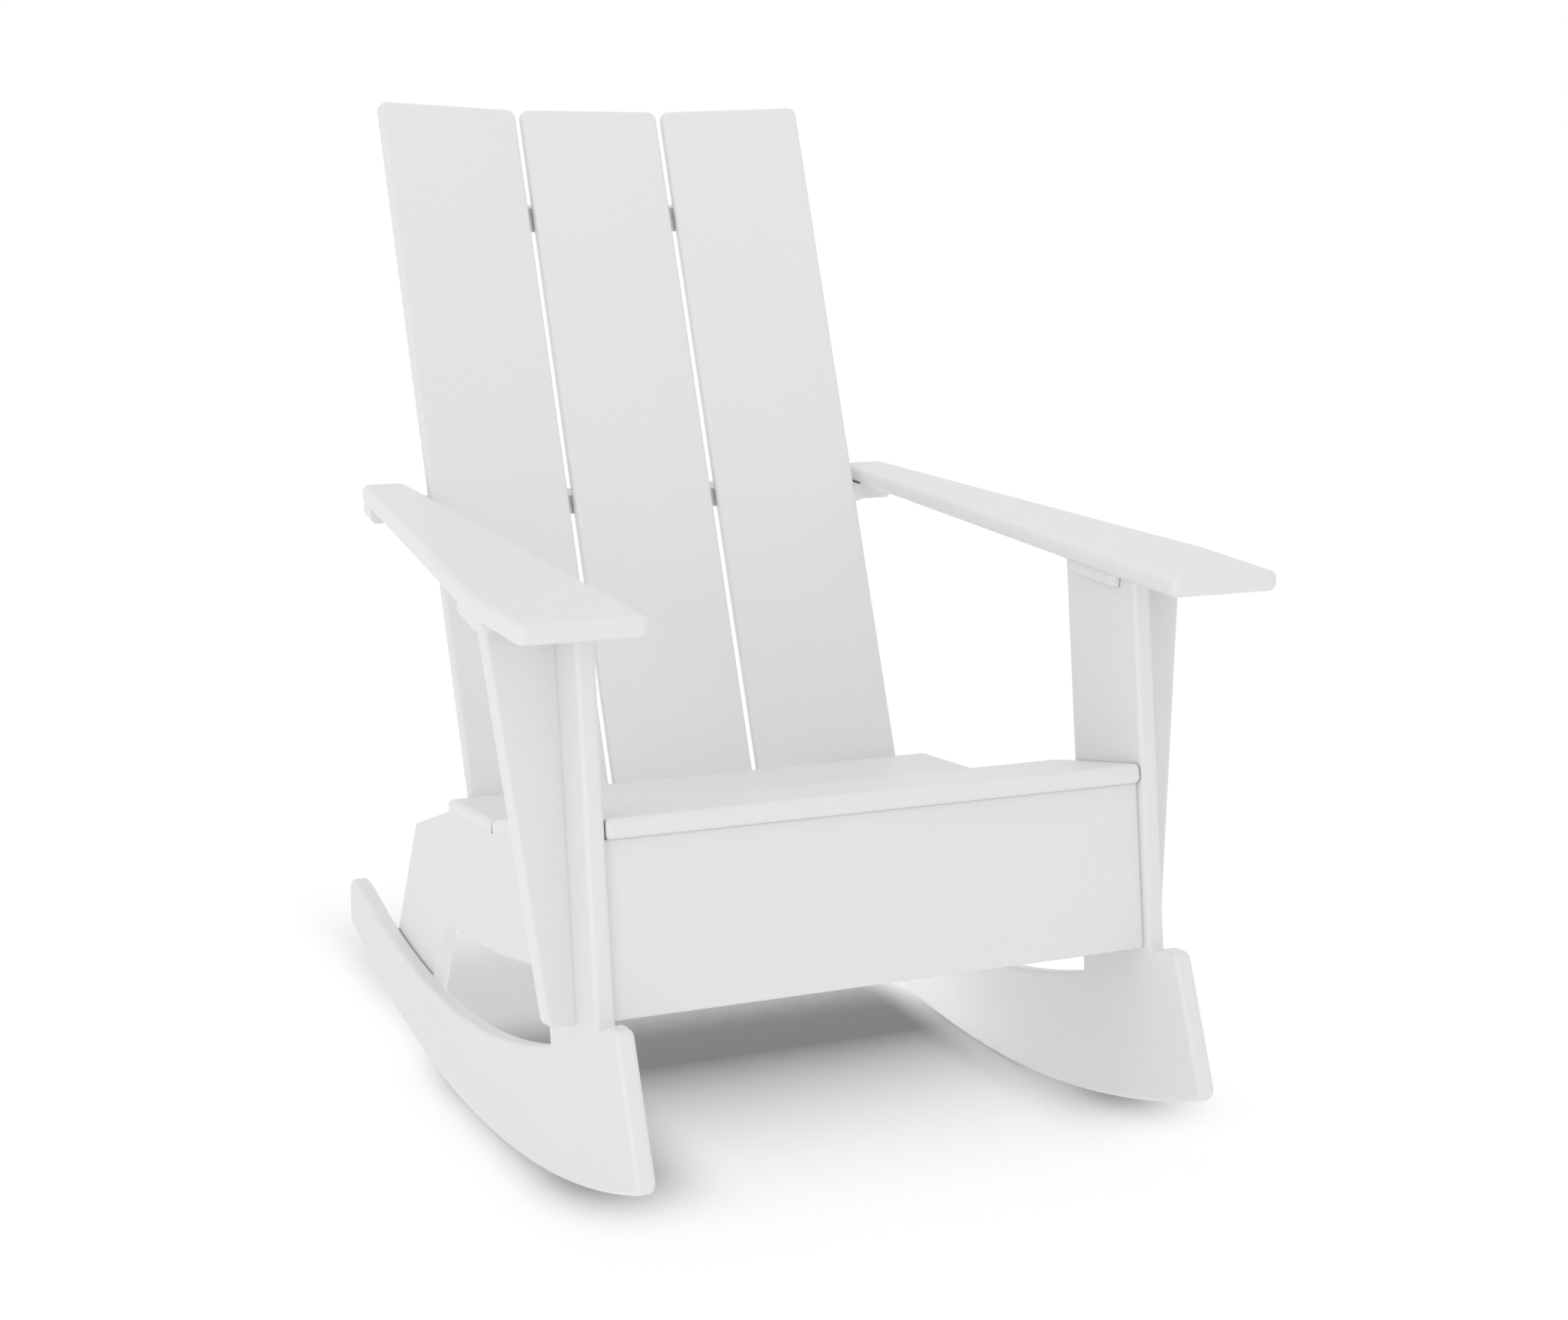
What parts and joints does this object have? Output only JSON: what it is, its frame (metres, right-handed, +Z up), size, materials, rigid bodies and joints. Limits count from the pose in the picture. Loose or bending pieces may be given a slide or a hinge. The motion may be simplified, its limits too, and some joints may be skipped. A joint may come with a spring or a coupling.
{
  "type": "rocking adirondack chair",
  "caption": "Adirondack rocking chair in white sheet plastic: slatted reclined back, dished board seat, wide tapered arms, and side plates that join leg and rocker.",
  "frame": {"origin": "on the floor, under the middle of the chair's overall box, with the chair at its own balance on the rockers", "axes": "+X to the right as seen from the front, which is the sitter's left; +Y to the rear, so the sitter faces -Y; +Z up. Names say left and right as seen from the front."},
  "size_m": [0.774, 0.9206, 1.0028],
  "materials": {
    "white_sheet_plastic": "satin white high-density polyethylene sheet with a very fine texture and rounded edges",
    "stainless_steel": "plain stainless steel"
  },
  "bodies": {
    "root": {"apron": "white_sheet_plastic", "apron_screws": "stainless_steel", "arm_left": "white_sheet_plastic", "arm_plate_left": "white_sheet_plastic", "arm_plate_right": "white_sheet_plastic", "arm_plate_screws": "stainless_steel", "arm_right": "white_sheet_plastic", "arm_screws": "stainless_steel", "back_slat_left": "white_sheet_plastic", "back_slat_middle": "white_sheet_plastic", "back_slat_right": "white_sheet_plastic", "foot_back_brace": "white_sheet_plastic", "foot_brace_screws": "stainless_steel", "gusset_screws": "stainless_steel", "leg_gusset_left": "white_sheet_plastic", "leg_gusset_right": "white_sheet_plastic", "leg_rocker_left": "white_sheet_plastic", "leg_rocker_right": "white_sheet_plastic", "lower_back_brace": "white_sheet_plastic", "lower_brace_screws": "stainless_steel", "rail_to_leg_screws": "stainless_steel", "rear_foot_screws": "stainless_steel", "seat_board_front": "white_sheet_plastic", "seat_board_middle": "white_sheet_plastic", "seat_board_rear": "white_sheet_plastic", "seat_rail_left": "white_sheet_plastic", "seat_rail_right": "white_sheet_plastic", "seat_screws": "stainless_steel", "upper_back_brace": "white_sheet_plastic", "upper_brace_screws": "stainless_steel"}
  },
  "joints": []
}
